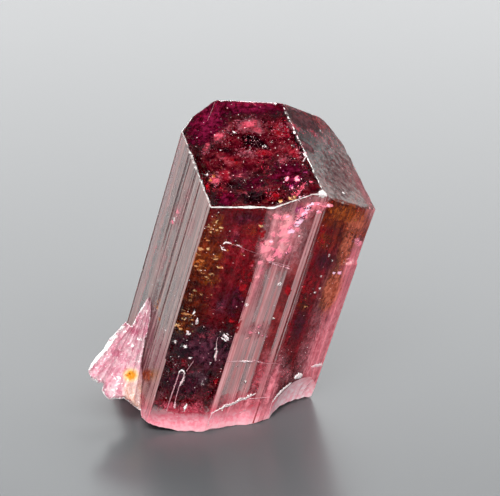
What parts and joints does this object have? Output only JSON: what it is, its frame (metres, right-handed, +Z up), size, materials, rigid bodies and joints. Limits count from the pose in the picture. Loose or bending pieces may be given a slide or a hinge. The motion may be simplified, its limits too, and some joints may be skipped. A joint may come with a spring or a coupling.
{
  "type": "tourmaline crystal",
  "caption": "Pink to dark red tourmaline crystal: a striated leaning prism with a slanted rhombohedral cap, a flat broken base and a small fan of crystals grown out of a side face.",
  "frame": {"origin": "middle of the bounding box's footprint, on the plane that the broken base rests on", "axes": "+Z up; the crystal's long axis leans 15.6 degrees from the vertical towards +X; -Y is the front, where the largest cap face slopes down; the small side crystals are at -X, low on the front left face"},
  "size_m": [0.0202, 0.013, 0.022],
  "materials": {
    "tourmaline": "see-through pink to dark red crystal, glassy natural faces with fine stripes along its length"
  },
  "bodies": {
    "root": {"tourmaline_crystal": "tourmaline"}
  },
  "joints": []
}
